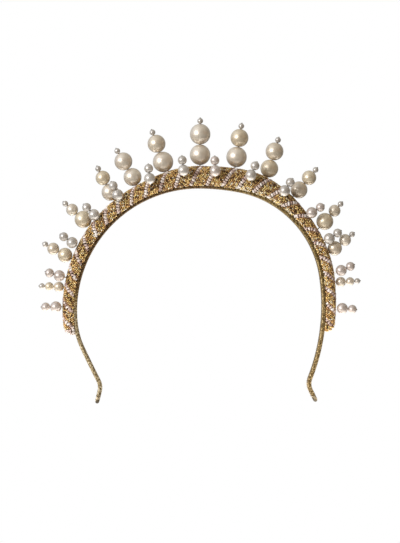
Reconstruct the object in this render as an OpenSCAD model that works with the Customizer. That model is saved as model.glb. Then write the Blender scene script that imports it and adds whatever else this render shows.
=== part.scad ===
// Pearl crown headband.
// A spring strip wound with gold thread carries a padded roll over the head. The roll is wrapped
// with strings of gold seed beads and two pale strings, and twenty-seven headed pins stand in it:
// thirteen spires of graded pearls, with a pair of small pearls on each side of every spire.
// +Z is up, the front faces -Y and +X is to the right as seen from the front. The origin is the
// highest point of the band's inner face, where the crown sits on the head.

/* [Band] */
// Width of the spring strip, front to back
strip_w = 4.1; // [3:0.1:7]
// Thickness of the spring strip
strip_t = 0.9; // [0.6:0.1:1.4]
// Thickness of the thread winding on every face of the strip
winding_t = 0.75; // [0.4:0.05:1]
// Radius of the winding's rounded edges
winding_edge_r = 0.8; // [0.5:0.1:1]
// Length of each tip cap
cap_l = 4; // [3:0.5:6]

/* [Arch] */
// Radius of the inner face over the head, left side
left_head_r = 71.3; // [68:0.1:80]
// Turn of that arc, in degrees
left_head_turn = 95; // [85:1:100]
// Radius of the inner face beside the head, left side
left_side_r = 45; // [40:1:70]
// Turn of that arc, in degrees
left_side_turn = 20; // [15:1:30]
// Radius of the crest's flatter arc, right side
right_crest_r = 124; // [100:1:140]
// Turn of that arc, in degrees
right_crest_turn = 11; // [8:1:20]
// Radius of the tighter shoulder, right side
right_shoulder_r = 59; // [54:1:64]
// Turn of that arc, in degrees
right_shoulder_turn = 70.5; // [60:0.5:76]
// Radius of the long arm, right side
right_arm_r = 115; // [95:1:140]
// Turn of that arc, in degrees
right_arm_turn = 30; // [28:0.5:36]
// Radius of the left arm's last gentle stretch
left_arm_r = 600; // [200:10:800]
// Turn of that stretch, in degrees
left_arm_turn = 2; // [1:0.5:8]
// Radius of the outward kick near each tip
kick_r = 10; // [7:0.5:12]
// Turn of the kick, in degrees, left side
left_kick_turn = 40.5; // [35:0.5:50]
// Turn of the kick, in degrees, right side
right_kick_turn = 48; // [40:0.5:55]
// Straight length of each tip after the kick
tip_l = 7.5; // [5:0.5:9]

/* [Roll] */
// Length of the padded roll from the crest to its left end
left_roll_l = 125; // [115:1:130]
// Length of the padded roll from the crest to its right end
right_roll_l = 128; // [115:1:132]
// Heights of the roll at the crest, three quarter points and the end, left side
left_heights = [10.8, 8.2, 7.4, 6.4, 6]; // [5:0.1:13]
// Heights of the roll at the crest, three quarter points and the end, right side
right_heights = [10.8, 11.1, 7, 6.4, 5.9]; // [5:0.1:13]
// Width of the roll at the crest, front to back
roll_crest_w = 12.5; // [11:0.5:15]
// Width of the roll near its ends
roll_end_w = 8.5; // [7.5:0.5:10]
// Length of the rounded stretch at each end of the roll
roll_nose_l = 4; // [3:0.5:6]
// Thickness of the bead layer
bead_layer_t = 1.7; // [1.6:0.1:1.9]
// Thickness of the fabric cover under the beads
cover_t = 0.5; // [0.4:0.1:0.7]

/* [Pale strings] */
// Diameter of the pale strings
pale_d = 1.8; // [1.4:0.1:1.8]
// Advance of each string along the band for one turn round the roll
pale_lead = 18; // [16:0.5:22]
// Number of strings laid side by side
pale_starts = 2; // [1:1:3]
// Where the first string passes the crest, along the band
pale_shift = 2; // [-9:0.5:9]
// Diameter of the beads that close the roll's ends
end_bead_d = 2; // [1.6:0.1:2.2]

/* [Spires] */
// Distance between neighbouring spires, along the band
spire_pitch = 17; // [16.5:0.1:17.5]
// Diameters of the lower pearls, from the centre spire out
base_pearl_d = [12, 12, 10.5, 10, 10, 8.5, 6]; // [5:0.5:12]
// Diameters of the upper pearls, from the centre spire out
upper_pearl_d = [12, 10.5, 10.5, 8.5, 7, 7, 5]; // [4:0.5:12]
// Diameter of the bead at each spire's tip
tip_bead_d = 3.4; // [3:0.1:4]
// How far behind the roll's middle the spires stand
spire_back = 1.6; // [1:0.1:2.5]

/* [Pairs] */
// Diameter of the lower pearl of each pair
pair_lower_d = 6.5; // [6:0.5:7]
// Diameter of the upper pearl of each pair
pair_upper_d = 5.2; // [4:0.1:5.5]
// Height of the pairs' lower pearls above the band's inner face
pair_lift = 11.3; // [11:0.1:12]

/* [Pins] */
// Diameter of the pin wire
pin_d = 0.7; // [0.5:0.1:0.8]
// Diameter of the pin's button head
head_d = 1; // [0.9:0.1:1.3]
// Thickness of the button head
head_t = 0.35; // [0.3:0.05:0.5]
// Clearance between the wire and a pearl's bore, on the diameter
bore_play = 0.1; // [0.05:0.05:0.2]

/* [Hidden] */
// Small gap between solids that only rest on each other
touch = 0.05;
band_t = strip_t + 2 * winding_t;
strip_ends = 0.8;

// The pins were set by hand, so each one is a little off the even pitch and off square.
// Offsets along the band and outwards from it, in mm, and leans away from the crest, in degrees,
// from the centre out.
left_spire_offset = [0, 0, -1, -5, -3.5, -1, -2];
right_spire_offset = [0.5, 2, 1, 0.5, 2.5, -1, -1];
left_spire_rise = [0, 0, 0, 0, 0, 0, 0];
right_spire_rise = [0.5, 0.5, 0, 0.5, 1, 0, 0.5];
left_spire_lean = [0, 6, 4, -10, -3, -6, 7];
right_spire_lean = [0, 0, -5, 2, -14, -18, 3];
left_pair_offset = [0, 0.5, 1.5, 0, 0.5, 1, -0.5];
right_pair_offset = [-0.5, 1.5, 3, 3.5, 2, 1.5, 4.5];
left_pair_rise = [-0.5, -0.5, 0, 0.5, 1.5, 1.5, 1];
right_pair_rise = [-1, -0.5, -1, 0, 0.5, 1.5, 0.5];
left_pair_lean = [0, -15, -9, -3, -7, -2, 2];
right_pair_lean = [-6, 10, 2, 9, -8, -14, 4];

SPIRES = [for (i = [-6 : 6]) i];
PAIRS = [for (i = [-7 : 7]) if (i != 0) i];

function side_name(i) = i == 0 ? "centre" : str(i < 0 ? "left_" : "right_", abs(i));

// The band's inner face is a chain of arcs on each side of the crest, as [length, turn] pairs.
function arc(r, turn) = [r * abs(turn) * PI / 180, turn];
LEFT_CHAIN = [
    arc(left_head_r, left_head_turn),
    arc(left_side_r, left_side_turn),
    arc(left_arm_r, left_arm_turn),
    arc(kick_r, -left_kick_turn),
    [tip_l, 0]
];
RIGHT_CHAIN = [
    arc(right_crest_r, right_crest_turn),
    arc(right_shoulder_r, right_shoulder_turn),
    arc(right_arm_r, right_arm_turn),
    arc(kick_r, -right_kick_turn),
    [tip_l, 0]
];
function chain_l(chain, n = 5) = n == 0 ? 0 : chain[n - 1][0] + chain_l(chain, n - 1);
left_l = chain_l(LEFT_CHAIN);
right_l = chain_l(RIGHT_CHAIN);

// Moves a [x, z, heading] state along one arc.
function advance(p, l, turn) =
    let (chord = turn == 0 ? l : 2 * l / (turn * PI / 180) * sin(turn / 2))
    [p[0] + chord * cos(p[2] + turn / 2), p[1] - chord * sin(p[2] + turn / 2), p[2] + turn];
function walk(chain, s, i = 0, p = [0, 0, 0]) =
    s <= chain[i][0] || i == len(chain) - 1
        ? advance(p, s, chain[i][1] * s / chain[i][0])
        : walk(chain, s - chain[i][0], i + 1, advance(p, chain[i][0], chain[i][1]));

// State at signed length s from the crest: [x, z, angle of the outward normal from +Z].
function station(s) =
    s < 0
        ? let (q = walk(LEFT_CHAIN, -s)) [-q[0], q[1], -q[2]]
        : walk(RIGHT_CHAIN, s);
// Point at length s, depth y, and height n above the inner face.
function at(s, y, n) =
    let (f = station(s)) [f[0] + n * sin(f[2]), y, f[1] + n * cos(f[2])];

// Lengths at which the band is faceted: a vertex about every six degrees of turn.
facet_turn = 6;
function chain_stops(chain) = [
    for (i = [0 : len(chain) - 1])
        let (n = max(1, ceil(abs(chain[i][1]) / facet_turn)))
        for (k = [1 : n]) chain_l(chain, i) + chain[i][0] * k / n
];
function reversed(v) = [for (i = [len(v) - 1 : -1 : 0]) v[i]];
BAND_STOPS = concat(-reversed(chain_stops(LEFT_CHAIN)), [0], chain_stops(RIGHT_CHAIN));

// The roll's height and width at length s. Its sides follow smooth curves through their heights.
function roll_l(s) = s < 0 ? left_roll_l : right_roll_l;
function smooth_at(v, x) =
    let (i = min(len(v) - 2, floor(x)), t = x - i)
    let (a = i == 0 ? v[1] : v[i - 1], b = v[i], c = v[i + 1], d = v[min(len(v) - 1, i + 2)])
    b + 0.5 * t * (c - a + t * (2 * a - 5 * b + 4 * c - d + t * (3 * (b - c) + d - a)));
function roll_h(s) = smooth_at(s < 0 ? left_heights : right_heights, 4 * abs(s) / roll_l(s));
function roll_w(s) =
    roll_end_w + (roll_crest_w - roll_end_w)
    * (roll_h(s) - left_heights[4]) / (left_heights[0] - left_heights[4]);
// How far the roll's round section would sink below the band's outer face if it weren't flat there
seat = 0.8;
function half_h(s) = (roll_h(s) + seat) / 2;
function mid_lift(s) = band_t - seat + half_h(s);
nose_least = 0.45;
function nose(s) =
    let (t = max(0, (abs(s) - roll_l(s) + roll_nose_l) / roll_nose_l))
    max(nose_least, sqrt(max(0, 1 - t * t)));
// Point on the roll's section: turn a runs from the crest over the front, depth is below the beads
function roll_at(s, a, depth) =
    let (n = max(mid_lift(s) + (half_h(s) - depth) * cos(a), band_t + depth + touch))
    at(s, -(roll_w(s) / 2 - depth) * sin(a) * nose(s), band_t + (n - band_t) * nose(s));

roll_rings = 56;
roll_sides = 12;
// Rings crowd towards the two ends, where the roll is rounded off.
ROLL_STOPS = [
    for (i = [0 : roll_rings])
        let (q = 2 * i / roll_rings - 1)
        sin(90 * q) * (q < 0 ? left_roll_l : right_roll_l)
];
function roll_ring(s, depth) = [
    for (k = [0 : roll_sides - 1]) roll_at(s, 360 * k / roll_sides, depth)
];

// A solid skinned over rings of m points, closed at both ends
module rod(rings) {
    m = len(rings[0]);
    last = (len(rings) - 1) * m;
    sides = [
        for (i = [0 : len(rings) - 2], k = [0 : m - 1])
            let (a = i * m + k, b = i * m + (k + 1) % m)
            each [[a, a + m, b], [b, a + m, b + m]]
    ];
    ends = [for (k = [1 : m - 2]) each [[0, k, k + 1], [last, last + k + 1, last + k]]];
    polyhedron([for (r = rings) each r], concat(sides, ends));
}

// A pipe between outer and inner rings of m points, with open ends
module pipe(outer, inner) {
    m = len(outer[0]);
    count = len(outer) * m;
    walls = [
        for (i = [0 : len(outer) - 2], k = [0 : m - 1])
            let (a = i * m + k, b = i * m + (k + 1) % m, c = a + count, d = b + count)
            each [[a, a + m, b], [b, a + m, b + m], [c, d, c + m], [d, d + m, c + m]]
    ];
    rims = [
        for (k = [0 : m - 1])
            let (a = k, b = (k + 1) % m, z = count - m)
            each [
                [a, b, a + count], [b, b + count, a + count],
                [a + z, a + z + count, b + z], [b + z, a + z + count, b + z + count]
            ]
    ];
    polyhedron(concat([for (r = outer) each r], [for (r = inner) each r]), concat(walls, rims));
}

// One ring of twelve points round the band, w wide and from height n0 to n1. A round corner
// has its middle point on the arc, and a square one has it on the corner.
function band_ring(s, w, n0, n1, square) =
    let (r = square ? (n1 - n0) / 4 : winding_edge_r, mid = square ? 1 : sqrt(0.5))
    let (hw = w / 2 - r, hn = (n1 - n0) / 2 - r)
    [
        for (q = [[1, 1], [1, -1], [-1, -1], [-1, 1]])
            for (c = q[0] * q[1] > 0 ? [[0, 1], [mid, mid], [1, 0]] : [[1, 0], [mid, mid], [0, 1]])
                at(s, -q[0] * (hw + r * c[0]), (n0 + n1) / 2 + q[1] * (hn + r * c[1]))
    ];

// Round bar between two points
module bar(p, q, d) {
    v = q - p;
    translate(p)
        rotate([0, acos(v[2] / norm(v)), atan2(v[1], v[0])])
            cylinder(d = d, h = norm(v), $fn = 24);
}

// Stems: which spire or pair, its place and its lean
function pick(i, left, right, k) = (i < 0 ? left : right)[k];
function spire_s(i) =
    (i < 0 ? -1 : 1) * (abs(i) * spire_pitch + pick(i, left_spire_offset, right_spire_offset, abs(i)));
function spire_lift(i) = touch + pick(i, left_spire_rise, right_spire_rise, abs(i));
function spire_tilt(i) =
    station(spire_s(i))[2] + (i < 0 ? -1 : 1) * pick(i, left_spire_lean, right_spire_lean, abs(i));
function pair_s(i) =
    sign(i) * ((abs(i) - 0.5) * spire_pitch
    + pick(i, left_pair_offset, right_pair_offset, abs(i) - 1));
function pair_tilt(i) =
    station(pair_s(i))[2] + sign(i) * pick(i, left_pair_lean, right_pair_lean, abs(i) - 1);
function along(tilt) = [sin(tilt), 0, cos(tilt)];

// Middles of a spire's pearls, each resting on the one below
function base_mid(i) =
    let (s = spire_s(i))
    at(s, spire_back, band_t + roll_h(s) + base_pearl_d[abs(i)] / 2 + spire_lift(i));
function upper_mid(i) =
    base_mid(i)
    + along(spire_tilt(i)) * ((base_pearl_d[abs(i)] + upper_pearl_d[abs(i)]) / 2 + touch);
function tip_mid(i) =
    upper_mid(i) + along(spire_tilt(i)) * ((upper_pearl_d[abs(i)] + tip_bead_d) / 2 + touch);

// A pair stands where its lower pearl rests against the front of the roll: far forward where the
// roll is tall, and nearly over the crest where it is low.
pair_rest = pair_lower_d / 2 + 0.2;
pair_least_front = 3;
function pair_n(i) = pair_lift + pick(i, left_pair_rise, right_pair_rise, abs(i) - 1);
function pair_front(s, n) =
    let (rise = (n - mid_lift(s)) / (half_h(s) + pair_rest))
    max(pair_least_front, (roll_w(s) / 2 + pair_rest) * sqrt(max(0, 1 - rise * rise)));
function pair_lower_mid(i) =
    let (s = pair_s(i), n = pair_n(i))
    at(s, -pair_front(s, n), n);
function pair_upper_mid(i) =
    pair_lower_mid(i) + along(pair_tilt(i)) * ((pair_lower_d + pair_upper_d) / 2 + touch);

module pearl(mid, d, tilt) {
    translate(mid)
        rotate([0, tilt, 0])
            difference() {
                sphere(d = d, $fn = 40);
                cylinder(d = pin_d + bore_play, h = 2 * d, center = true, $fn = 24);
            }
}

// Straight wire with a button head that lies on the bead at its upper end
module headed_pin(foot, top) {
    v = top - foot;
    bar(foot, top + v / norm(v) * head_t / 2, pin_d);
    translate(top)
        rotate([0, acos(v[2] / norm(v)), atan2(v[1], v[0])])
            cylinder(d1 = head_d, d2 = 0.7 * head_d, h = head_t, $fn = 24);
}

module spring_strip() {
    n0 = winding_t;
    n1 = winding_t + strip_t;
    reach = concat([-left_l + strip_ends], [
        for (s = BAND_STOPS) if (s > -left_l + strip_ends && s < right_l - strip_ends) s
    ], [right_l - strip_ends]);
    inner = [for (s = reach) let (p = at(s, 0, n0)) [p[0], p[2]]];
    outer = [for (s = reversed(reach)) let (p = at(s, 0, n1)) [p[0], p[2]]];
    color("silver")
        rotate([90, 0, 0])
            linear_extrude(height = strip_w, center = true)
                polygon(concat(inner, outer));
}

module band_winding() {
    slack = 0.02;
    reach = concat([-left_l + cap_l], [
        for (s = BAND_STOPS) if (s > -left_l + cap_l && s < right_l - cap_l) s
    ], [right_l - cap_l]);
    outer = [for (s = reach) band_ring(s, strip_w + 2 * winding_t, 0, band_t, false)];
    inner = [
        for (s = reach)
            band_ring(s, strip_w + 2 * slack, winding_t - slack, winding_t + strip_t + slack, true)
    ];
    color("darkgoldenrod")
        pipe(outer, inner);
}

// Flat cap with a round nose, slipped over the strip's end
module tip_cap(end_s) {
    f = station(end_s);
    way = end_s < 0 ? 1 : -1;
    cap_w = strip_w + 2 * winding_t;
    slack = 0.04;
    pocket_l = cap_l - strip_ends + slack;
    color("darkgoldenrod")
        translate([f[0], 0, f[1]])
            rotate([0, f[2], 0])
                difference() {
                    union() {
                        translate([way * cap_w / 2, 0, 0])
                            cylinder(d = cap_w, h = band_t, $fn = 48);
                        translate([way * (cap_w / 2 + cap_l) / 2, 0, band_t / 2])
                            cube([cap_l - cap_w / 2 - touch, cap_w, band_t], center = true);
                    }
                    translate([way * (strip_ends - slack + pocket_l / 2), 0, band_t / 2])
                        cube([pocket_l, strip_w + slack, strip_t + slack], center = true);
                }
}

module padding_core() {
    depth = bead_layer_t + cover_t + touch;
    color("wheat")
        rod([for (s = ROLL_STOPS) roll_ring(s, depth)]);
}

module padding_cover() {
    color("goldenrod")
        pipe([for (s = ROLL_STOPS) roll_ring(s, bead_layer_t + touch)],
            [for (s = ROLL_STOPS) roll_ring(s, bead_layer_t + cover_t)]);
}

module gold_bead_wrap() {
    color("goldenrod")
        pipe([for (s = ROLL_STOPS) roll_ring(s, 0)],
            [for (s = ROLL_STOPS) roll_ring(s, bead_layer_t)]);
}

// The pale strings wind round the roll, climbing over its front as they run to the right.
strand_proud = 0.1;
strand_depth = pale_d / 2 - strand_proud;
strand_sides = 5;
strand_steps = 12;
function strand_at(s, start) =
    let (a = -360 * ((s - pale_shift) / pale_lead + start / pale_starts))
    let (n = max(mid_lift(s) + (half_h(s) - strand_depth) * cos(a), band_t + pale_d / 2 + touch))
    at(s, -(roll_w(s) / 2 - strand_depth) * sin(a), n);
function strand_ring(s, start) =
    let (p = strand_at(s, start), ahead = strand_at(s + 0.1, start) - strand_at(s - 0.1, start))
    let (t = ahead / norm(ahead), out = p - at(s, 0, mid_lift(s)))
    let (u = cross(t, out) / norm(cross(t, out)), v = cross(t, u))
    [
        for (k = [0 : strand_sides - 1])
            let (a = 360 * k / strand_sides)
            p + pale_d / 2 * (cos(a) * u + sin(a) * v)
    ];

module pale_bead_strings() {
    first = -left_roll_l + roll_nose_l;
    last = right_roll_l - roll_nose_l;
    steps = ceil((last - first) / pale_lead * strand_steps);
    color("mistyrose")
        for (start = [0 : pale_starts - 1])
            rod([for (i = [0 : steps]) strand_ring(first + (last - first) * i / steps, start)]);
}

// Three beads side by side, sewn over the open end of the roll
module end_beads(end_s) {
    away = (end_s < 0 ? -1 : 1) * (end_bead_d / 2 + touch);
    lift = band_t + (mid_lift(end_s) - band_t) * nose_least + end_bead_d / 4;
    color("mistyrose")
        for (side = [-1 : 1])
            translate(at(end_s + away, side * (end_bead_d + touch), lift))
                sphere(d = end_bead_d, $fn = 24);
}

// The pins' feet end inside the padding core.
function foot_depth(s) = 0.6 * roll_h(s);

module spire_pins() {
    color("silver")
        for (i = SPIRES)
            let (axis = along(spire_tilt(i)))
            headed_pin(
                base_mid(i) - axis * (base_pearl_d[abs(i)] / 2 + foot_depth(spire_s(i))),
                tip_mid(i) + axis * tip_bead_d / 2
            );
}

// A pair's wire turns inwards below its lower pearl, inside a crimped ball that carries the pearl.
// The ball is turned so that its seam is clear of both wires.
crimp_d = 1.1;
wire_start = 0.4;

module pair_pins() {
    color("silver")
        for (i = PAIRS)
            let (axis = along(pair_tilt(i)), s = pair_s(i))
            let (crimp = pair_lower_mid(i) - axis * (pair_lower_d + crimp_d + touch) / 2)
            let (foot = at(s, 0, mid_lift(s)), inwards = (foot - crimp) / norm(foot - crimp)) {
                headed_pin(
                    crimp + axis * wire_start,
                    pair_upper_mid(i) + axis * pair_upper_d / 2
                );
                translate(crimp)
                    rotate([0, pair_tilt(i), 0])
                        rotate([0, 0, -90])
                            sphere(d = crimp_d, $fn = 24);
                bar(crimp + inwards * wire_start, foot, pin_d);
            }
}

module tip_beads() {
    color("ivory")
        for (i = SPIRES)
            pearl(tip_mid(i), tip_bead_d, spire_tilt(i));
}

module base_pearl(i) {
    color("ivory")
        pearl(base_mid(i), base_pearl_d[abs(i)], spire_tilt(i));
}

module upper_pearl(i) {
    color("ivory")
        pearl(upper_mid(i), upper_pearl_d[abs(i)], spire_tilt(i));
}

module pair_pearls(i) {
    color("ivory") {
        pearl(pair_lower_mid(i), pair_lower_d, pair_tilt(i));
        pearl(pair_upper_mid(i), pair_upper_d, pair_tilt(i));
    }
}

spring_strip();
band_winding();
tip_cap(-left_l);  // tip_cap_left
tip_cap(right_l);  // tip_cap_right
padding_core();
padding_cover();
gold_bead_wrap();
pale_bead_strings();
end_beads(-left_roll_l);  // end_beads_left
end_beads(right_roll_l);  // end_beads_right
spire_pins();
pair_pins();
tip_beads();
for (i = SPIRES) base_pearl(i);
for (i = SPIRES) upper_pearl(i);
for (i = PAIRS) pair_pearls(i);
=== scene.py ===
"""The looks of a pearl crown headband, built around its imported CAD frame.

The frame has +Z up, the front towards -Y, and its origin at the highest point of the band's inner
face. Lengths s run along the band from there, to the right when positive, and heights n go
outwards from the band's inner face. Shapes are worked out in millimetres, and mesh_piece() turns
them into metres.
"""
import math

import bpy
import numpy as np
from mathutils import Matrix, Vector


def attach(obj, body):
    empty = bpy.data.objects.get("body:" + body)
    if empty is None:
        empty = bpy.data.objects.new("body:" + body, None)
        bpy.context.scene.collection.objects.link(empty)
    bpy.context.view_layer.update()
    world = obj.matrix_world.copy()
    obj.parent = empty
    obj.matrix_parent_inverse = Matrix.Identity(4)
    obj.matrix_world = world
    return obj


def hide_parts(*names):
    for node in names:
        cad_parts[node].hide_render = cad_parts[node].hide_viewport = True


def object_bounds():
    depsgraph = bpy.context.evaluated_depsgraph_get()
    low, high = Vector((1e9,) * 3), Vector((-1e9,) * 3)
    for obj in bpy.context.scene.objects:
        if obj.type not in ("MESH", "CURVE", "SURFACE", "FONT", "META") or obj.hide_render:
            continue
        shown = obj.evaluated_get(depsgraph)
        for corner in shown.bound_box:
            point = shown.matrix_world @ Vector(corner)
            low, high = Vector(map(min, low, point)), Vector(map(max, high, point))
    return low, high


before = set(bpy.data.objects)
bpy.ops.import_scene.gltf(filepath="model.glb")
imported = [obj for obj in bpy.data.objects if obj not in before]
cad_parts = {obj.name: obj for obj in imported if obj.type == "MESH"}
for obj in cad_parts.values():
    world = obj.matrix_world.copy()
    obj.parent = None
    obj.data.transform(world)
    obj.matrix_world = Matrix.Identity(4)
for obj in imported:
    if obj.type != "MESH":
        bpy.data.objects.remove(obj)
CAD_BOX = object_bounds()
MM = 0.001
SEED = 11
rng = np.random.default_rng(SEED)

# ---------------------------------------------------------------- the band's and the roll's shape
# The inner face as (radius, turn in degrees) of each arc from the crest outwards
LEFT_ARCS = [(71.3, 95), (45, 20), (600, 2), (10, -40.5)]
RIGHT_ARCS = [(124, 11), (59, 70.5), (115, 30), (10, -48)]
# The straight tips after the last arcs
TIP_L = 7.5
# The wound band's width and thickness, and the length of its tip caps
BAND_W, BAND_T = 5.6, 2.4
CAP_L = 4.0

# How far the roll reaches to each side, and its heights in even steps from the crest outwards
LEFT_ROLL_L, RIGHT_ROLL_L = 125.0, 128.0
LEFT_HEIGHTS = [10.8, 8.2, 7.4, 6.4, 6]
RIGHT_HEIGHTS = [10.8, 11.1, 7, 6.4, 5.9]
# Its width at the crest and at its ends, its rounded ends, and how deep the band sits in it
CREST_W, END_W = 12.5, 8.5
NOSE_L = 4.0
SEAT = 0.8
# How far the beads hang over the band's edges, how much less on the right, and where and over
# what length that changes
DROOP, RIGHT_LESS = 1.35, 0.3
DROOP_CHANGE, DROOP_EASE = 28, 6
# The beads' gap to the band's edges, the width over which they come down beside it, and how far
# they stay above its inner face
EDGE_GAP, EDGE_EASE, EDGE_CLEAR = 0.1, 0.5, 0.3

# The length of the roll that one turn of a string takes, where the first starts, and the number
# of pale strings that wind side by side with the gold rows between them
STRING_LEAD = 18.0
STRING_SHIFT = 2.0
PALE_STARTS = 2


def arc_chain(arcs):
    """The arcs and the straight tip as (length, turn in radians)."""
    return [(r * math.radians(abs(turn)), math.radians(turn)) for r, turn in arcs] + [(TIP_L, 0.0)]


CHAINS = {-1: arc_chain(LEFT_ARCS), 1: arc_chain(RIGHT_ARCS)}
LEFT_L = sum(length for length, _ in CHAINS[-1])
RIGHT_L = sum(length for length, _ in CHAINS[1])


def station(s):
    """x, z and the outward normal's angle from +Z, at signed lengths s."""
    s = np.asarray(s, float)
    x, z, angle = np.zeros(s.shape), np.zeros(s.shape), np.zeros(s.shape)
    for side, chain in CHAINS.items():
        rest = side * s
        px, pz, heading = np.zeros(s.shape), np.zeros(s.shape), np.zeros(s.shape)
        for i, (length, turn) in enumerate(chain):
            part = np.clip(rest, 0, length if i < len(chain) - 1 else None)
            swing = turn * part / length
            half = swing / 2
            chord = part * np.sinc(half / math.pi)
            px = px + chord * np.cos(heading + half)
            pz = pz - chord * np.sin(heading + half)
            heading = heading + swing
            rest = rest - part
        here = side * s > 0
        x, z = np.where(here, side * px, x), np.where(here, pz, z)
        angle = np.where(here, side * heading, angle)
    return x, z, angle


def at(s, y, n):
    """Points at lengths s, depths y and heights n."""
    x, z, angle = station(s)
    return np.stack(np.broadcast_arrays(x + n * np.sin(angle), y, z + n * np.cos(angle)), -1)


def smooth_at(values, x):
    """A smooth curve through evenly spaced values, level at the crest."""
    values = np.asarray(values, float)
    x = np.clip(x, 0, len(values) - 1)
    i = np.minimum(len(values) - 2, np.floor(x).astype(int))
    t = x - i
    a = np.where(i == 0, values[1], values[np.maximum(i - 1, 0)])
    b, c = values[i], values[i + 1]
    d = values[np.minimum(len(values) - 1, i + 2)]
    return b + 0.5 * t * (c - a + t * (2 * a - 5 * b + 4 * c - d + t * (3 * (b - c) + d - a)))


def roll_reach(s):
    """How far the roll reaches on the side of s."""
    return np.where(np.asarray(s) < 0, LEFT_ROLL_L, RIGHT_ROLL_L)


def roll_h(s):
    """The roll's height over the band's outer face."""
    x = 4 * np.abs(s) / roll_reach(s)
    return np.where(np.asarray(s) < 0, smooth_at(LEFT_HEIGHTS, x), smooth_at(RIGHT_HEIGHTS, x))


def roll_half_w(s):
    """Half the roll's depth from front to back, which grows with its height."""
    least = LEFT_HEIGHTS[-1]
    return (END_W + (CREST_W - END_W) * (roll_h(s) - least) / (LEFT_HEIGHTS[0] - least)) / 2


def roll_half_h(s):
    """Half the height of the roll's section, with the part that the band sits in."""
    return (roll_h(s) + SEAT) / 2


def roll_mid(s):
    """The height of the section's middle."""
    return BAND_T - SEAT + roll_half_h(s)


def nose(s):
    """The section's share of its full size, which shrinks over the roll's rounded ends."""
    t = np.clip((np.abs(s) - roll_reach(s) + NOSE_L) / NOSE_L, 0, 1)
    return np.sqrt(np.maximum(1 - t * t, 0))


def droop(s):
    """How far the beads hang over the band's front and back edges: less on the right."""
    return DROOP - RIGHT_LESS / (1 + np.exp(-(np.asarray(s) - DROOP_CHANGE) / DROOP_EASE))


def eased(x):
    """0 to 1 with level ends as x goes from 0 to 1."""
    x = np.clip(x, 0, 1)
    return x * x * (3 - 2 * x)


def roll_point(s, a, depth):
    """Points on the roll's section at angle a from the crest over the front, at a depth inside."""
    s, a, depth = np.broadcast_arrays(np.asarray(s, float), a, depth)
    y = (roll_half_w(s) - depth) * np.sin(a)
    beside = eased((np.abs(y) - BAND_W / 2 - EDGE_GAP) / EDGE_EASE)
    n = roll_mid(s) + (roll_half_h(s) - depth) * np.cos(a) - droop(s) * eased(-np.cos(a) / 0.75)
    n = np.maximum(n, BAND_T + depth - beside * (BAND_T - EDGE_CLEAR))
    return at(s, -y * nose(s), BAND_T + (n - BAND_T) * nose(s))


def unit(v):
    """Vectors brought to length 1."""
    return v / np.maximum(np.linalg.norm(v, axis=-1, keepdims=True), 1e-9)


def roll_frame(s, a, depth):
    """Points on the roll's section, with their outward normals and their change per mm of s."""
    ds, da = 0.05, 0.01
    along = (roll_point(s + ds, a, depth) - roll_point(s - ds, a, depth)) / (2 * ds)
    round_it = (roll_point(s, a + da, depth) - roll_point(s, a - da, depth)) / (2 * da)
    return roll_point(s, a, depth), unit(np.cross(round_it, along)), along


# ---------------------------------------------------------------- meshes
def mesh_piece(name, verts, faces, material, stands_for, values=None):
    """A smooth piece from points in mm and faces, riding on the root body."""
    mesh = bpy.data.meshes.new(name)
    mesh.from_pydata((np.asarray(verts) * MM).tolist(), [], [list(map(int, f)) for f in faces])
    mesh.update()
    mesh.shade_smooth()
    for key, data in (values or {}).items():
        layer = mesh.attributes.new(key, "FLOAT", "POINT")
        layer.data.foreach_set("value", np.asarray(data, np.float32))
    mesh.materials.append(material)
    piece = bpy.data.objects.new(name, mesh)
    bpy.context.scene.collection.objects.link(piece)
    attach(piece, "root")
    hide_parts(*stands_for)
    return piece


def grid_faces(rows, columns, closed_rows=False):
    """Quads over rows of points, each row a closed ring."""
    i = np.arange(rows if closed_rows else rows - 1)[:, None]
    k = np.arange(columns)[None, :]
    j, m = (i + 1) % rows, (k + 1) % columns
    return np.stack(
        [i * columns + k, i * columns + m, j * columns + m, j * columns + k], -1
    ).reshape(-1, 4)


def ring_skin(rings):
    """Vertices and faces of a solid over rings of points, closed by a fan at both ends."""
    rings = np.asarray(rings)
    rows, columns = rings.shape[:2]
    verts = np.concatenate([rings.reshape(-1, 3), rings[[0, -1]].mean(1)])
    faces = grid_faces(rows, columns).tolist()
    first, last = rows * columns, rows * columns + 1
    for k in range(columns):
        m = (k + 1) % columns
        faces.append([first, m, k])
        faces.append([last, (rows - 1) * columns + k, (rows - 1) * columns + m])
    return verts, faces


def joined(parts):
    """One vertex list and face list from several pairs of them."""
    verts, faces, base = [], [], 0
    for part_verts, part_faces in parts:
        verts.append(part_verts)
        faces += [[int(i) + base for i in face] for face in part_faces]
        base += len(part_verts)
    return np.concatenate(verts), faces


def turned_ring(profile, sides):
    """A closed (radius, height) profile turned round the Z axis."""
    angle = np.arange(sides) * 2 * math.pi / sides
    profile = np.asarray(profile, float)
    verts = np.stack(
        [
            profile[:, :1] * np.cos(angle),
            profile[:, :1] * np.sin(angle),
            np.repeat(profile[:, 1:], sides, 1),
        ],
        -1,
    ).reshape(-1, 3)
    return verts, grid_faces(len(profile), sides, closed_rows=True)


def axis_frames(axes):
    """Rotation matrices whose third column is the given axis."""
    axes = unit(np.asarray(axes, float))
    helper = np.where(np.abs(axes[..., 1:2]) < 0.9, [0.0, 1.0, 0.0], [1.0, 0.0, 0.0])
    across = unit(np.cross(helper, axes))
    return np.stack([across, np.cross(axes, across), axes], -1)


def copies(template, centres, axes, sizes):
    """The template at each centre, turned to its axis and scaled by (width, width, length)."""
    verts, faces = template
    placed = np.einsum("kij,kmj->kmi", axis_frames(axes), verts[None] * sizes[:, None, :])
    placed = (placed + centres[:, None, :]).reshape(-1, 3)
    shift = (np.arange(len(centres)) * len(verts))[:, None, None]
    return placed, (faces[None] + shift).reshape(-1, faces.shape[1])


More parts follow.
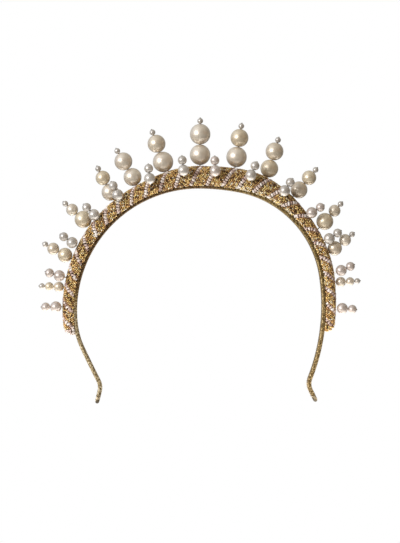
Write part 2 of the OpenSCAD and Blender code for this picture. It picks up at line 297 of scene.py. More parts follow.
# ---------------------------------------------------------------- materials
def new_material(name):
    """A material, its node tree and its shader, with everything else removed."""
    material = bpy.data.materials.new(name)
    material.use_nodes = True
    tree = material.node_tree
    tree.nodes.clear()
    out = tree.nodes.new("ShaderNodeOutputMaterial")
    shader = tree.nodes.new("ShaderNodeBsdfPrincipled")
    tree.links.new(shader.outputs[0], out.inputs[0])
    return material, tree, shader


def noise(tree, scale, detail=3.0, roughness=0.6):
    """Noise over the frame's own space; scale is in features per metre."""
    place = tree.nodes.new("ShaderNodeTexCoord")
    node = tree.nodes.new("ShaderNodeTexNoise")
    node.inputs["Scale"].default_value = scale
    node.inputs["Detail"].default_value = detail
    node.inputs["Roughness"].default_value = roughness
    tree.links.new(place.outputs["Object"], node.inputs["Vector"])
    return node.outputs["Fac"]


def ramp(tree, factor, stops):
    """A colour ramp through (position, colour) stops."""
    node = tree.nodes.new("ShaderNodeValToRGB")
    elements = node.color_ramp.elements
    while len(elements) < len(stops):
        elements.new(1.0)
    for element, (position, colour) in zip(elements, stops):
        element.position = position
        element.color = (*colour, 1.0)
    tree.links.new(factor, node.inputs["Fac"])
    return node.outputs["Color"]


def spread(tree, factor, low, high):
    """A factor from 0 to 1 carried over to the range from low to high."""
    node = tree.nodes.new("ShaderNodeMapRange")
    node.inputs["To Min"].default_value = low
    node.inputs["To Max"].default_value = high
    tree.links.new(factor, node.inputs["Value"])
    return node.outputs["Result"]


def eased_spread(tree, value, span, ends):
    """A value carried from a span to its two ends, levelling off at both."""
    node = tree.nodes.new("ShaderNodeMapRange")
    node.interpolation_type = "SMOOTHSTEP"
    node.inputs["From Min"].default_value, node.inputs["From Max"].default_value = span
    node.inputs["To Min"].default_value, node.inputs["To Max"].default_value = ends
    tree.links.new(value, node.inputs["Value"])
    return node.outputs["Result"]


def product(tree, one, other):
    """Two values multiplied."""
    node = tree.nodes.new("ShaderNodeMath")
    node.operation = "MULTIPLY"
    tree.links.new(one, node.inputs[0])
    tree.links.new(other, node.inputs[1])
    return node.outputs[0]


def vector_math(tree, operation, vector, other=None):
    """A vector worked on alone, or together with a fixed one."""
    node = tree.nodes.new("ShaderNodeVectorMath")
    node.operation = operation
    tree.links.new(vector, node.inputs[0])
    if other is not None:
        node.inputs[1].default_value = other
    return node.outputs["Vector" if operation == "ABSOLUTE" else "Value"]


def attribute(tree, name):
    """A number that each point of the mesh carries."""
    node = tree.nodes.new("ShaderNodeAttribute")
    node.attribute_name = name
    return node.outputs["Fac"]


def mixed(tree, factor, one, other, blend="MIX"):
    """One colour blended with another by the factor, which may be a number."""
    node = tree.nodes.new("ShaderNodeMix")
    node.data_type = "RGBA"
    node.blend_type = blend
    sockets = node.inputs[0], node.inputs[6], node.inputs[7]
    for socket, value in zip(sockets, (factor, one, other)):
        if isinstance(value, bpy.types.NodeSocket):
            tree.links.new(value, socket)
        else:
            socket.default_value = value if isinstance(value, float) else (*value, 1.0)
    return node.outputs[2]


def bump(tree, shader, height, strength, distance):
    """Relief on the shader's surface; distance is in metres."""
    node = tree.nodes.new("ShaderNodeBump")
    node.inputs["Strength"].default_value = strength
    node.inputs["Distance"].default_value = distance
    tree.links.new(height, node.inputs["Height"])
    tree.links.new(node.outputs[0], shader.inputs["Normal"])


def nacre(name, light, deep):
    """A pearl's lacquered nacre: faintly clouded ivory under a clear coat."""
    material, tree, shader = new_material(name)
    cloud = noise(tree, 160, 2.0)
    tree.links.new(ramp(tree, cloud, [(0.3, deep), (0.7, light)]), shader.inputs["Base Color"])
    tree.links.new(spread(tree, noise(tree, 300, 2.0), 0.30, 0.38), shader.inputs["Roughness"])
    shader.inputs["Metallic"].default_value = 0.4
    shader.inputs["Specular IOR Level"].default_value = 0.6
    shader.inputs["Coat Weight"].default_value = 0.8
    shader.inputs["Coat Roughness"].default_value = 0.2
    shader.inputs["Coat IOR"].default_value = 1.6
    return material


def seed_glass(name, stops, metallic, low, high):
    """Lined glass seed beads: each bead's own tint picks its colour, and dirt dulls it a little."""
    material, tree, shader = new_material(name)
    colour = ramp(tree, attribute(tree, "tint"), stops)
    shade = ramp(tree, noise(tree, 700, 2.0), [(0.35, (0.6, 0.54, 0.5)), (0.55, (1.0, 1.0, 1.0))])
    tree.links.new(mixed(tree, 0.5, colour, shade, "MULTIPLY"), shader.inputs["Base Color"])
    tree.links.new(spread(tree, noise(tree, 1500, 2.0), low, high), shader.inputs["Roughness"])
    shader.inputs["Metallic"].default_value = metallic
    shader.inputs["Coat Weight"].default_value = 0.4
    shader.inputs["Coat Roughness"].default_value = 0.05
    return material


def metal_thread(name):
    """Metallic thread: bright and dark filaments, painted shade in its hollows, and painted shade
    along the band where it lies in shadow.
    """
    material, tree, shader = new_material(name)
    fleck = ramp(
        tree,
        noise(tree, 1000, 3.0, 0.7),
        [(0.36, (0.10, 0.065, 0.03)), (0.47, (0.34, 0.26, 0.14)), (0.57, (0.64, 0.54, 0.36)),
         (0.68, (1.0, 0.93, 0.80))],
    )
    # Painted shade in the hollows between the thread's turns, where it lies lower
    groove_shade = ramp(tree, attribute(tree, "proud"), [(0.1, (0.22, 0.16, 0.10)), (0.7, (1.0, 1.0, 1.0))])
    # Painted shade along the band, deepest under the left half of the roll and at the crest
    band_shade_tint = ramp(
        tree,
        attribute(tree, "painted_band_shade"),
        [(0.0, (0.80, 0.79, 0.72)), (0.3, (0.80, 0.70, 0.50)), (0.6, (0.52, 0.44, 0.25)),
         (1.0, (0.36, 0.27, 0.18))],
    )
    colour = mixed(tree, 1.0, fleck, groove_shade, "MULTIPLY")
    tree.links.new(mixed(tree, 1.0, colour, band_shade_tint, "MULTIPLY"), shader.inputs["Base Color"])
    tree.links.new(spread(tree, noise(tree, 2500, 2.0), 0.28, 0.55), shader.inputs["Roughness"])
    shader.inputs["Metallic"].default_value = 0.75
    bump(tree, shader, noise(tree, 5000, 2.0), 0.5, 0.00006)
    return material


def plain_metal(name, light, dark, roughness):
    """Drawn or plated metal with faint streaks and tarnish."""
    material, tree, shader = new_material(name)
    tree.links.new(
        ramp(tree, noise(tree, 600, 4.0), [(0.3, dark), (0.65, light)]), shader.inputs["Base Color"]
    )
    tree.links.new(
        spread(tree, noise(tree, 2000, 2.0), roughness * 0.8, roughness * 1.4),
        shader.inputs["Roughness"],
    )
    shader.inputs["Metallic"].default_value = 1.0
    bump(tree, shader, noise(tree, 3000, 2.0), 0.15, 0.00003)
    return material


def woven_cover(name):
    """The fabric between the beads: a dark gold weave."""
    material, tree, shader = new_material(name)
    place = tree.nodes.new("ShaderNodeTexCoord")
    weave = tree.nodes.new("ShaderNodeTexWave")
    weave.inputs["Scale"].default_value = 900
    weave.inputs["Distortion"].default_value = 2.0
    tree.links.new(place.outputs["Object"], weave.inputs["Vector"])
    tree.links.new(
        ramp(tree, weave.outputs["Fac"], [(0.2, (0.035, 0.02, 0.008)), (0.8, (0.11, 0.07, 0.028))]),
        shader.inputs["Base Color"],
    )
    shader.inputs["Roughness"].default_value = 0.8
    shader.inputs["Sheen Weight"].default_value = 0.2
    bump(tree, shader, weave.outputs["Fac"], 0.6, 0.0001)
    return material


LARGE_NACRE = [
    nacre("nacre_ivory", (0.80, 0.70, 0.55), (0.69, 0.59, 0.45)),
    nacre("nacre_cream", (0.81, 0.71, 0.52), (0.70, 0.58, 0.41)),
    nacre("nacre_milk", (0.82, 0.74, 0.61), (0.73, 0.63, 0.51)),
]
SMALL_NACRE = [
    nacre("nacre_blush", (0.70, 0.61, 0.55), (0.57, 0.49, 0.43)),
    nacre("nacre_silver", (0.67, 0.63, 0.57), (0.54, 0.50, 0.45)),
]
GOLD_STOPS = [
    (0.0, (0.10, 0.05, 0.018)),
    (0.18, (0.27, 0.14, 0.05)),
    (0.34, (0.64, 0.38, 0.16)),
    (0.52, (0.88, 0.57, 0.19)),
    (0.66, (0.98, 0.74, 0.32)),
    (0.82, (0.80, 0.61, 0.21)),
    (1.0, (1.0, 0.94, 0.78)),
]
PALE_STOPS = [
    (0.0, (0.40, 0.26, 0.21)),
    (0.35, (0.70, 0.54, 0.47)),
    (0.7, (0.90, 0.77, 0.69)),
    (1.0, (1.0, 0.95, 0.89)),
]
gold_glass = seed_glass("seed_gold", GOLD_STOPS, 0.7, 0.14, 0.3)
pale_glass = seed_glass("seed_pale", PALE_STOPS, 0.15, 0.15, 0.3)
thread_gold = metal_thread("thread_gold")
cap_gold = plain_metal("cap_gold", (0.62, 0.53, 0.38), (0.36, 0.28, 0.16), 0.3)
wire_silver = plain_metal("wire_silver", (0.70, 0.68, 0.64), (0.36, 0.34, 0.31), 0.22)
strip_steel = plain_metal("strip_steel", (0.55, 0.55, 0.57), (0.38, 0.38, 0.40), 0.35)
cover_cloth = woven_cover("cover_cloth")


# ---------------------------------------------------------------- band
def rounded_section(width, height, radius, corner_steps, side_step):
    """Points, outward normals and running length of a rounded oblong round (0, 0)."""
    points, normals = [], []
    for q in range(4):
        start = q * math.pi / 2
        cy = (width / 2 - radius) * (1 if q in (0, 3) else -1)
        cn = (height / 2 - radius) * (1 if q in (0, 1) else -1)
        for k in range(corner_steps + 1):
            a = start + k * math.pi / 2 / corner_steps
            points.append((cy + radius * math.cos(a), cn + radius * math.sin(a)))
            normals.append((math.cos(a), math.sin(a)))
        straight = (width if q % 2 == 0 else height) - 2 * radius
        extra = int(straight / side_step)
        end = (q + 1) * math.pi / 2
        for k in range(1, extra):
            step = straight * k / extra
            py = cy + radius * math.cos(end) - math.sin(end) * step
            pn = cn + radius * math.sin(end) + math.cos(end) * step
            points.append((py, pn))
            normals.append((math.cos(end), math.sin(end)))
    points, normals = np.array(points), np.array(normals)
    gaps = np.linalg.norm(np.roll(points, -1, 0) - points, axis=1)
    return points, normals, np.concatenate([[0], np.cumsum(gaps)[:-1]]), gaps.sum()


# How much painted shade darkens the thread along the band as (length s, share): most under the left
# half of the roll
PAINTED_BAND_SHADE = [
    (-130, 0.0), (-112, 0.05), (-98, 1.0), (6, 1.0), (22, 0.6), (92, 0.6), (108, 0.42),
    (150, 0.42), (160, 0.3),
]


def winding(name, s0, s1):
    """A stretch of the band's thread winding: a fat twisted thread laid turn beside turn."""
    turn_pitch, ring_step = 0.9, 0.15
    ridge_h, twist_h, twists = 0.2, 0.07, 13
    corner_r, corner_steps, side_step = 0.8, 5, 0.27
    points, normals, run, girth = rounded_section(
        BAND_W, BAND_T, corner_r, corner_steps, side_step
    )
    s = np.linspace(s0, s1, int((s1 - s0) / ring_step))[:, None]
    lap = s / turn_pitch - (run / girth)[None, :]
    across = 2 * (lap - np.floor(lap)) - 1
    ridge = np.sqrt(np.maximum(1 - across**2, 0))
    twist = 0.5 + 0.5 * np.sin(2 * math.pi * (twists * run[None, :] / girth + across * 0.5))
    lift = ridge_h * (ridge - 0.75) + twist_h * twist * ridge
    y = points[None, :, 0] + normals[None, :, 0] * lift
    n = BAND_T / 2 + points[None, :, 1] + normals[None, :, 1] * lift
    verts, faces = ring_skin(at(np.broadcast_to(s, y.shape), y, n))
    # How raised the thread is; its low parts get painted shade in the material
    proud = np.concatenate([(0.65 * ridge + 0.35 * twist * ridge).ravel(), [0, 0]])
    places = np.append(np.repeat(s[:, 0], y.shape[1]), [s0, s1])
    # Painted shade along the band, as a share for each point
    painted_band_shade = np.interp(places, *zip(*PAINTED_BAND_SHADE))
    mesh_piece(
        name, verts, faces, thread_gold, ["band_winding"],
        {"proud": proud, "painted_band_shade": painted_band_shade},
    )


def tip_cap(name, node, end_s):
    """A flat metal cap with a round, softened nose that ends in a small flat."""
    ring_count, corner_r, corner_steps = 22, 1.5, 6
    flat_w, flat_t = 0.0012**0.5, 0.12
    way = -1 if end_s < 0 else 1
    nose_r = BAND_W / 2
    rings = []
    for share in np.linspace(0, 1, ring_count):
        back = CAP_L * (1 - math.sin(share * math.pi / 2))
        inside = max(0.0, 1 - back / nose_r)
        width = BAND_W * max(math.sqrt(1 - inside**2), flat_w)
        height = BAND_T * max(math.sqrt(1 - inside**4), flat_t)
        radius = 0.49 * min(width, height, corner_r)
        points, *_ = rounded_section(width, height, radius, corner_steps, BAND_W * 2)
        s = np.full(len(points), end_s - way * back)
        rings.append(at(s, points[:, 0] * way, BAND_T / 2 + points[:, 1]))
    verts, faces = ring_skin(rings)
    mesh_piece(name, verts, faces, cap_gold, [node])


winding("thread_winding_left", -LEFT_L + CAP_L, 0)
winding("thread_winding_right", 0, RIGHT_L - CAP_L)
tip_cap("left_tip_cap", "tip_cap_left", -LEFT_L)
tip_cap("right_tip_cap", "tip_cap_right", RIGHT_L)
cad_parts["spring_strip"].data.materials.clear()
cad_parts["spring_strip"].data.materials.append(strip_steel)

# ---------------------------------------------------------------- padded roll
# How deep the fabric lies under the beads' outer faces, and the roll's steps along and round
PAD_DEPTH = 1.15
PAD_STEPS, PAD_NOSE_STEPS, PAD_SIDES = 240, 9, 36


def padded_roll():
    """The padded roll under the beads, in its fabric cover."""
    middle = np.linspace(-LEFT_ROLL_L + NOSE_L, RIGHT_ROLL_L - NOSE_L, PAD_STEPS)
    polar = np.linspace(0, math.pi / 2, PAD_NOSE_STEPS)[1:]
    left = -LEFT_ROLL_L + NOSE_L * (1 - np.sin(polar[::-1])) + PAD_DEPTH
    right = RIGHT_ROLL_L - NOSE_L * (1 - np.sin(polar)) - PAD_DEPTH
    s = np.concatenate([left[left < middle[0]], middle, right[right > middle[-1]]])
    a = np.arange(PAD_SIDES) * 2 * math.pi / PAD_SIDES
    verts, faces = ring_skin(roll_point(s[:, None], a[None, :], PAD_DEPTH)[:, ::-1])
    return mesh_piece(
        "padded_roll", verts, faces, cover_cloth, ["padding_core", "padding_cover"]
    )


padded_roll()

# ---------------------------------------------------------------- strings of seed beads
# Each bead is a holed ring of width 1 and length 1, from its hole's lower lip round to the upper
GOLD_BEAD = turned_ring(
    [(0.22, -0.36), (0.38, -0.42), (0.5, -0.18), (0.5, 0.18), (0.38, 0.42), (0.22, 0.36)], 9
)
PALE_BEAD = turned_ring(
    [(0.2, -0.36), (0.32, -0.43), (0.43, -0.34), (0.5, -0.1), (0.5, 0.1), (0.43, 0.34),
     (0.32, 0.43), (0.2, 0.36)],
    14,
)
# The beads' widths where the rows lie at their mean spacing, and the least and most of them
GOLD_D, GOLD_RANGE = 1.2, (0.95, 1.35)
PALE_D, PALE_RANGE = 2.9, (2.6, 3.1)
# From one bead to the next on a string, as a share of the width, and how far pale beads stand out
GOLD_PITCH, PALE_PITCH = 0.82, 0.56
PALE_PROUD = 0.15
# How loosely they sit: the spread of their places in mm, of their axes and of their sizes
GOLD_LOOSE = (0.08, 0.16, 0.09)
PALE_LOOSE = (0.05, 0.1, 0.05)
GOLD_ROWS = 6
ROWS_W = PALE_D + GOLD_ROWS * GOLD_D
STARTS_APART = STRING_LEAD / PALE_STARTS
# Tints go from 0 to 1. Some beads beside the pale strings are a dark rosy brown, their own tone
# and painted shade beside the proud pale beads, and some low on the right at the front are
# creamy, a painted highlight along that edge: their shares, and the least tint and range of each
ROSY_SHADE_SHARE, ROSY_SHADE_TINT, ROSY_SHADE_RANGE = 0.45, 0.22, 0.12
CREAMY_HIGHLIGHT_SHARE, CREAMY_HIGHLIGHT_TINT, CREAMY_HIGHLIGHT_RANGE = 0.6, 0.9, 0.1
CREAMY_HIGHLIGHT_FROM, CREAMY_HIGHLIGHT_TO = 20, 80


def string_beads(phase, d, d_range, pitch, proud):
    """Centres, axes, normals, widths, lengths s and angles of a string's beads on the roll."""

    def angle_at(s):
        return -2 * math.pi * ((s - STRING_SHIFT) / STRING_LEAD + phase)

    def placed(s):
        a, step = angle_at(s), 0.02
        _, normal, along = roll_frame(s, a, d / 2)
        axis = unit(roll_point(s + step, angle_at(s + step), d / 2) - roll_point(s, a, d / 2))
        spacing = np.abs(np.sum(along * np.cross(normal, axis), -1)) * STARTS_APART
        width = np.clip(d * spacing / ROWS_W, *d_range)
        return roll_point(s, a, width / 2 - proud), axis, normal, width, a

    fine_step, past_nose = 0.04, 0.5
    first, last = -LEFT_ROLL_L + NOSE_L - past_nose, RIGHT_ROLL_L - NOSE_L + past_nose
    fine = np.arange(first, last, fine_step)
    points, _, _, width, _ = placed(fine)
    gaps = np.linalg.norm(np.diff(points, axis=0), axis=1) / (pitch * width[1:])
    count = np.concatenate([[0], np.cumsum(gaps)])
    s = np.interp(np.arange(0.5, count[-1]), count, fine)
    centre, axis, normal, width, a = placed(s)
    under_band = (np.abs(centre[:, 1]) < BAND_W / 2 - width * 0.4) & (np.cos(a) < -0.5)
    return [values[~under_band] for values in (centre, axis, normal, width, s, a)]


def jittered(centre, axis, normal, width, shift, tilt, swell):
    """The beads, each a little off its place, its axis and its size."""
    count = len(centre)
    side = unit(np.cross(normal, axis))
    centre = centre + side * rng.normal(0, shift, (count, 1))
    centre = centre + normal * rng.normal(0, shift * 0.7, (count, 1))
    lean = side * rng.normal(0, tilt, (count, 1))
    axis = unit(axis + lean + normal * rng.normal(0, tilt, (count, 1)))
    return centre, axis, width * (1 + rng.normal(0, swell, count))


def bead_piece(name, node, gold, verts, faces, tint):
    """Seed beads as one piece, in gold or pale glass."""
    glass, slot = (gold_glass, "gold_beads") if gold else (pale_glass, "pale_beads")
    mesh_piece(name, verts, faces, glass, [node], {"tint": tint})


def bead_string(name, phase, gold, beside_pale=False):
    """One string of beads, as a piece with a tint for each bead."""
    if gold:
        template, loose, pitch = GOLD_BEAD, GOLD_LOOSE, GOLD_PITCH
        beads = string_beads(phase, GOLD_D, GOLD_RANGE, pitch, 0.0)
    else:
        template, loose, pitch = PALE_BEAD, PALE_LOOSE, PALE_PITCH
        beads = string_beads(phase, PALE_D, PALE_RANGE, pitch, PALE_PROUD)
    centre, axis, normal, width, s, a = beads
    centre, axis, width = jittered(centre, axis, normal, width, *loose)
    length = width * pitch * 1.06
    verts, faces = copies(template, centre, axis, np.stack([width, width, length], -1))
    drift = 0.04 * np.sin(s * 0.31 + phase * 9) + 0.03 * np.sin(s * 0.083)
    tint = np.clip(rng.beta(1.1, 1.05, len(centre)) + drift, 0, 1)
    lot = rng.uniform(0, 1, len(centre))
    if beside_pale:
        # Dark rosy beads beside the pale strings: their own tone and painted shade
        tint = np.where(lot < ROSY_SHADE_SHARE, ROSY_SHADE_TINT + ROSY_SHADE_RANGE * tint, tint)
    # Creamy beads low at the front on the right: a painted highlight along that edge
    low_front = (np.cos(a) < -0.5) & (centre[:, 1] < -BAND_W / 2 + 0.4)
    creamy_highlight = low_front & (s > CREAMY_HIGHLIGHT_FROM) & (s < CREAMY_HIGHLIGHT_TO) & (lot < CREAMY_HIGHLIGHT_SHARE)
    tint = np.where(creamy_highlight, CREAMY_HIGHLIGHT_TINT + CREAMY_HIGHLIGHT_RANGE * tint, tint)
    tint = np.repeat(tint, len(template[0]))
    node = "gold_bead_wrap" if gold else "pale_bead_strings"
    bead_piece(name, node, gold, verts, faces, tint)


def row_phases():
    """Turn shares of the gold rows between one pale string and the next."""
    return [(PALE_D / 2 + (j + 0.5) * GOLD_D) / ROWS_W / PALE_STARTS for j in range(GOLD_ROWS)]


for start in range(PALE_STARTS):
    bead_string(f"pale_string_{start + 1}", start / PALE_STARTS, False)
    for j, share in enumerate(row_phases()):
        bead_string(
            f"gold_string_{start * GOLD_ROWS + j + 1}", start / PALE_STARTS + share, True,
            beside_pale=j in (0, GOLD_ROWS - 1),
        )


# The closing rings over the roll's ends, as shares of a quarter turn from the side to the tip
NOSE_RINGS = [0.24, 0.52, 0.8, 1.0]
# The beads' width, their pitch round a ring, and how deep their middles lie
NOSE_D, NOSE_PITCH, NOSE_DEPTH = 1.45, 1.35, 0.6


def nose_ring(side, reach, index, share):
    """Centres and outward normals of one closing ring's beads; the last ring is one bead."""
    if share == 1.0:
        centre = at(np.array([side * (reach + NOSE_L - 0.3)]), 0.0, BAND_T + 1.4)
        tip = at(np.array([side * (reach + NOSE_L)]), 0.0, BAND_T)
        return centre, tip - at(np.array([side * reach]), 0.0, BAND_T)
    s = side * (reach + NOSE_L * math.sin(share * math.pi / 2) * 0.96)
    outline = roll_point(s, np.linspace(0, 2 * math.pi, 200), NOSE_DEPTH)
    girth = np.linalg.norm(np.diff(outline, axis=0), axis=1).sum()
    count = max(1, round(girth / NOSE_PITCH))
    a = (np.arange(count) + 0.5 * index) * 2 * math.pi / count
    centre, normal, _ = roll_frame(np.full(count, s), a, NOSE_DEPTH)
    return centre, normal


def nose_beads(name, node, end_s, gold):
    """Closing rings of beads over one end of the roll."""
    side = -1 if end_s < 0 else 1
    parts, tints = [], []
    for index, share in enumerate(NOSE_RINGS):
        centre, normal = nose_ring(side, abs(end_s) - NOSE_L, index, share)
        count = len(centre)
        axis = unit(np.cross(normal, rng.normal(0, 1, (count, 3))))
        width = np.full(count, NOSE_D) * (1 + rng.normal(0, 0.06, count))
        parts.append(copies(PALE_BEAD, centre, axis, np.stack([width, width, width * 0.8], -1)))
        tints.append(np.repeat(rng.uniform(0.2, 1, count), len(PALE_BEAD[0])))
    verts, faces = joined(parts)
    bead_piece(name, node, gold, verts, faces, np.concatenate(tints))


nose_beads("left_end_beads", "end_beads_left", -LEFT_ROLL_L, False)
nose_beads("right_end_beads", "end_beads_right", RIGHT_ROLL_L, True)


# ---------------------------------------------------------------- pearls and their wires
# The wire, its bend under the pairs, and how deep the spires' wires stand in the roll
WIRE_R, ELBOW_R, FOOT_DEPTH = 0.35, 0.7, 4
# The bores, and their softened lips as a share of the bore and a depth
LARGE_BORE, SMALL_BORE = 0.85, 0.78
LIP_SHARE, LIP_DEPTH = 0.72, 0.12
# Pearls above this diameter have a finer mesh, and the tip beads have about this diameter
LARGE_FROM = 8
TIP_D = 3.4


def solids(node):
    """Centre and diameter, in mm, of each round solid in a CAD node, the largest first."""
    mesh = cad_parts[node].data
    points = np.array([v.co for v in mesh.vertices]) / MM
    keys = {}
    weld = [keys.setdefault(tuple(np.round(p, 3)), len(keys)) for p in points]
    owner = list(range(len(keys)))

    def root(i):
        while owner[i] != i:
            owner[i] = owner[owner[i]]
            i = owner[i]
        return i

    for face in mesh.polygons:
        first = root(weld[face.vertices[0]])
        for v in face.vertices[1:]:
            owner[root(weld[v])] = first
    groups = {}
    for i, w in enumerate(weld):
        groups.setdefault(root(w), []).append(points[i])
    found = []
    for group in groups.values():
        low, high = np.min(group, 0), np.max(group, 0)
        found.append(((low + high) / 2, high[1] - low[1]))
    return sorted(found, key=lambda f: -f[1])


def on_axis(profile, sides, centre, axis):
    """A closed profile turned round an axis through the centre."""
    template = turned_ring(profile, sides)
    return copies(template, np.array([centre]), np.array([axis]), np.ones((1, 3)))


def pearl_mesh(centre, d, axis, bore):
    """A drilled pearl: a sphere whose bore has a softened lip."""
    steps, sides = (30, 56) if d > LARGE_FROM else (22, 40)
    r, wall = d / 2, bore / 2
    lip = math.asin(bore * LIP_SHARE / r)
    outside = [
        (r * math.sin(t), r * math.cos(t)) for t in np.linspace(lip, math.pi - lip, steps)
    ]
    bore_end, bore_inside = r * math.cos(lip) - LIP_DEPTH, r - 0.4 * r
    inside = [(wall, -bore_end), (wall, -bore_inside), (wall, bore_inside), (wall, bore_end)]
    return on_axis((outside + inside)[::-1], sides, centre, axis)


def tube(points, radius, sides=14):
    """A round wire along a line of points."""
    points = np.asarray(points, float)
    tangent = unit(np.gradient(points, axis=0))
    u = axis_frames(tangent[:1])[0][:, 0]
    rings = []
    angle = np.arange(sides) * 2 * math.pi / sides
    for p, t in zip(points, tangent):
        u = unit(u - t * np.dot(u, t))
        v = np.cross(t, u)
        rings.append(p + radius * (np.cos(angle)[:, None] * u + np.sin(angle)[:, None] * v))
    return ring_skin(rings)


def pin_head(top, axis):
    """The wire's head: a small domed button that lies on the bead."""
    profile = [
        (0.02, 0.35), (0.2, 0.34), (0.38, 0.25), (0.48, 0.1), (0.5, 0.03), (0.46, -0.02),
        (0.1, -0.02),
    ]
    return on_axis(profile, 16, top, axis)


def bent_line(top, elbow, foot, radius, steps=8):
    """Points from top to foot with a rounded elbow."""
    into, out = unit(elbow - top), unit(foot - elbow)
    start, end = elbow - into * radius, elbow + out * radius
    t = np.linspace(0, 1, steps)[:, None]
    curve = (1 - t) ** 2 * start + 2 * t * (1 - t) * elbow + t**2 * end
    return np.array([top, *curve, foot])


def nearest(centre, options):
    """The solid whose middle is closest to the centre."""
    return min(options, key=lambda o: np.linalg.norm(o[0] - centre))


def wire_parts(points, top, axis):
    """A pin: its wire, and the head on its top."""
    return [tube(points, WIRE_R), pin_head(top, axis)]


SPIRES = ["centre"] + [f"{side}_{k}" for side in ("left", "right") for k in range(1, 7)]
PAIRS = [f"{side}_{k}" for side in ("left", "right") for k in range(1, 8)]
tip_list = solids("tip_beads")

spire_wires, tip_parts = [], []
for place in SPIRES:
    base, base_d = solids(f"base_pearl_{place}")[0]
    upper, upper_d = solids(f"upper_pearl_{place}")[0]
    axis = unit(upper - base)
    tip, tip_d = nearest(upper + axis * (upper_d + TIP_D) / 2, tip_list)
    for node, centre, d in (("base_pearl", base, base_d), ("upper_pearl", upper, upper_d)):
        verts, faces = pearl_mesh(centre, d, axis, LARGE_BORE)
        kind = LARGE_NACRE[int(rng.integers(len(LARGE_NACRE)))]
        name = f"{node}_{place}"
        mesh_piece(f"{name}_nacre", verts, faces, kind, [name])
    tip_parts.append(pearl_mesh(tip, tip_d, axis, SMALL_BORE))
    top = tip + axis * tip_d / 2
    foot = base - axis * (base_d / 2 + FOOT_DEPTH)
    spire_wires += wire_parts(np.linspace(foot, top, 4), top, axis)

verts, faces = joined(tip_parts)
mesh_piece("tip_pearls", verts, faces, SMALL_NACRE[1], ["tip_beads"])
verts, faces = joined(spire_wires)
mesh_piece("spire_wires", verts, faces, wire_silver, ["spire_pins"])

# The wires of the pairs bend under the lower pearl and run to the middle of the roll's section
lengths = np.linspace(-LEFT_ROLL_L, RIGHT_ROLL_L, 2000)
middles = at(lengths, 0.0, roll_mid(lengths))
pair_wires = []
for place in PAIRS:
    name = f"pair_pearls_{place}"
    (lower, lower_d), (upper, upper_d) = solids(name)
    axis = unit(upper - lower)
    two = (lower, lower_d), (upper, upper_d)
    verts, faces = joined([pearl_mesh(centre, d, axis, SMALL_BORE) for centre, d in two])
    kind = SMALL_NACRE[int(rng.integers(len(SMALL_NACRE)))]
    mesh_piece(f"{name}_nacre", verts, faces, kind, [name])
    away = np.linalg.norm((middles - lower) * [1, 0, 1], axis=1)
    foot = middles[np.argmin(away)]
    elbow = lower - axis * (lower_d / 2 + 0.05)
    top = upper + axis * upper_d / 2
    pair_wires += wire_parts(bent_line(top, elbow, foot, ELBOW_R), top, axis)
verts, faces = joined(pair_wires)
mesh_piece("pair_wires", verts, faces, wire_silver, ["pair_pins"])

# ---------------------------------------------------------------- camera, lights and floor (in m)
# The point that the camera looks at, how far off it stands, how far it is turned to the left and
# raised, and the height of the view at the target
TARGET = Vector((0.00043, 0.0, -0.0485))
DISTANCE = 1.15
YAW, PITCH = math.radians(4.0), math.radians(0.5)
VIEW_H = 0.3173
SENSOR = 36.0

camera_data = bpy.data.cameras.new("camera")
camera_data.sensor_width = SENSOR
camera_data.lens = SENSOR * DISTANCE / VIEW_H
camera_data.clip_start = 0.05
camera_data.clip_end = 20.0
camera = bpy.data.objects.new("camera", camera_data)
bpy.context.scene.collection.objects.link(camera)
back = Vector(
    (-math.sin(YAW) * math.cos(PITCH), -math.cos(YAW) * math.cos(PITCH), math.sin(PITCH))
)
camera.location = TARGET + back * DISTANCE
camera.rotation_mode = "QUATERNION"
camera.rotation_quaternion = (-back).to_track_quat("-Z", "Y")
bpy.context.scene.camera = camera


def area_light(name, direction, distance, size, power, colour):
    """A soft panel that faces the crown from the given direction."""
    data = bpy.data.lights.new(name, "AREA")
    data.shape = "RECTANGLE"
    data.size, data.size_y = size
    data.energy = power
    data.color = colour
    lamp = bpy.data.objects.new(name, data)
    bpy.context.scene.collection.objects.link(lamp)
    outwards = Vector(direction).normalized()
    lamp.location = TARGET + outwards * distance
    lamp.rotation_mode = "QUATERNION"
    lamp.rotation_quaternion = (-outwards).to_track_quat("-Z", "Y")


area_light("window", (-0.70, -0.67, 0.25), 1.7, (0.78, 0.78), 13.5, (1.0, 0.98, 0.96))

# The soft patches of the room: the way to each one's middle, the cosines at its edge and at its
# full brightness, and its colour
ROOM = [
    ((-1.0, 0.1, 0.1), 0.0, 0.9, (0.26, 0.30, 0.37)),
    ((-0.8, -0.6, 0.15), 0.75, 0.98, (1.3, 1.3, 1.32)),
    ((-0.6, -0.4, 0.7), 0.6, 0.95, (0.26, 0.28, 0.34)),
    ((0.0, 0.0, 1.0), 0.3, 0.95, (0.40, 0.38, 0.33)),
    ((1.0, 0.0, 0.0), 0.4, 0.95, (0.14, 0.13, 0.11)),
    ((0.85, -0.5, 0.0), 0.7, 0.97, (0.15, 0.08, 0.03)),
    ((0.1, -1.0, 0.1), 0.5, 0.95, (0.08, 0.05, 0.02)),
    ((0.0, 1.0, 0.15), 0.4, 0.95, (0.22, 0.20, 0.17)),
    ((0.7, 0.7, 0.1), 0.7, 0.95, (0.15, 0.16, 0.17)),
]
ROOM_SHADE = (0.055, 0.05, 0.045)
# The floor glows in a painted pool of light under the crown: how strongly, over what depths it
# comes in from the front, and over what distances from the middle it dies away
FLOOR_GLOW = 3.6
POOL_FRONT = (-0.13, 0.03)
POOL_RIM = (0.05, 0.21)
# The floor's glow and colour are darkened close round the two tips: a painted contact shadow
TIP_X = 0.055
TIP_SHADE = (0.006, 0.05)
# The floor's radius and sides, and how far it lies below the tips
FLOOR_R, FLOOR_SIDES = 4.0, 64
FLOOR_GAP = 0.0005


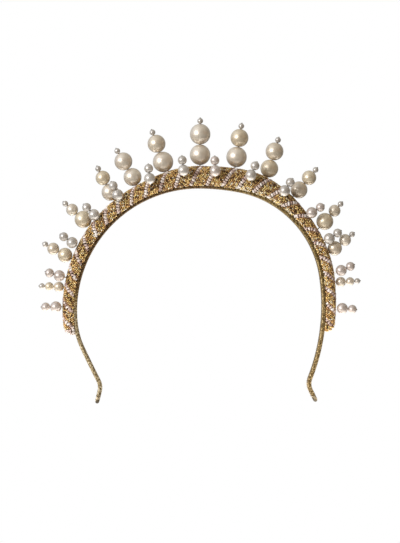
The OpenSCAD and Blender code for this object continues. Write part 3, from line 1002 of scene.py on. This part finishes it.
def split_by_camera(tree, out, unseen, seen):
    """The first shader lights the scene, and the camera is shown the second."""
    path = tree.nodes.new("ShaderNodeLightPath")
    mix = tree.nodes.new("ShaderNodeMixShader")
    tree.links.new(path.outputs["Is Camera Ray"], mix.inputs[0])
    tree.links.new(unseen.outputs[0], mix.inputs[1])
    tree.links.new(seen.outputs[0], mix.inputs[2])
    tree.links.new(mix.outputs[0], out.inputs[0])


def studio_world():
    """White to the camera, while the crown is lit by the soft patches of a dim room."""
    world = bpy.data.worlds.new("studio")
    world.use_nodes = True
    tree = world.node_tree
    tree.nodes.clear()
    out = tree.nodes.new("ShaderNodeOutputWorld")
    ways = tree.nodes.new("ShaderNodeTexCoord").outputs["Generated"]
    room = ROOM_SHADE
    for middle, edge, full, colour in ROOM:
        cosine = vector_math(tree, "DOT_PRODUCT", ways, Vector(middle).normalized())
        share = eased_spread(tree, cosine, (edge, full), (0.0, 1.0))
        room = mixed(tree, 1.0, room, mixed(tree, share, (0.0, 0.0, 0.0), colour), "ADD")
    seen = tree.nodes.new("ShaderNodeBackground")
    seen.inputs["Color"].default_value = (1.0, 1.0, 1.0, 1.0)
    unseen = tree.nodes.new("ShaderNodeBackground")
    tree.links.new(room, unseen.inputs["Color"])
    split_by_camera(tree, out, unseen, seen)
    bpy.context.scene.world = world


def painted_floor_pool(tree):
    """The share of the floor's painted pool of light over its surface, with a painted shadow round
    the tips.
    """
    place = tree.nodes.new("ShaderNodeTexCoord").outputs["Object"]
    split = tree.nodes.new("ShaderNodeSeparateXYZ")
    tree.links.new(place, split.inputs[0])
    front = eased_spread(tree, split.outputs["Y"], POOL_FRONT, (0.0, 1.0))
    rim = eased_spread(tree, vector_math(tree, "LENGTH", place), POOL_RIM, (1.0, 0.0))
    # A painted contact shadow round each tip
    one_half = vector_math(tree, "ABSOLUTE", place)
    from_tip = vector_math(tree, "DISTANCE", one_half, (TIP_X, 0.0, 0.0))
    shade = eased_spread(tree, from_tip, TIP_SHADE, (0.0, 1.0))
    return product(tree, product(tree, front, rim), shade)


def pale_floor():
    """A wide sheet of studio paper under the tips, burnt out to white like the room behind it."""
    material, tree, shader = new_material("floor_paper")
    painted_pool = painted_floor_pool(tree)
    fibres = noise(tree, 40, 3.0)
    paper = ramp(tree, fibres, [(0.3, (0.78, 0.78, 0.77)), (0.7, (0.82, 0.82, 0.81))])
    # The paper is painted darker away from the pool and round the tips: painted shade
    tree.links.new(mixed(tree, painted_pool, (0.3, 0.29, 0.27), paper), shader.inputs["Base Color"])
    shader.inputs["Roughness"].default_value = 0.9
    shader.inputs["Emission Color"].default_value = (1.0, 0.96, 0.92, 1.0)
    # The pool glows for all but the camera's rays: a painted pool of light lighting the crown from
    # below
    tree.links.new(spread(tree, painted_pool, 0.0, FLOOR_GLOW), shader.inputs["Emission Strength"])
    out = next(node for node in tree.nodes if node.type == "OUTPUT_MATERIAL")
    split_by_camera(tree, out, shader, tree.nodes.new("ShaderNodeEmission"))
    turns = [2 * math.pi * k / FLOOR_SIDES for k in range(FLOOR_SIDES)]
    verts = [(FLOOR_R * math.cos(t), FLOOR_R * math.sin(t), 0) for t in turns]
    mesh = bpy.data.meshes.new("floor")
    mesh.from_pydata(verts, [], [list(range(FLOOR_SIDES))])
    mesh.materials.append(material)
    floor = bpy.data.objects.new("floor", mesh)
    floor.location.z = CAD_BOX[0].z - FLOOR_GAP
    bpy.context.scene.collection.objects.link(floor)


studio_world()
pale_floor()
bpy.context.scene.view_settings.view_transform = "Standard"
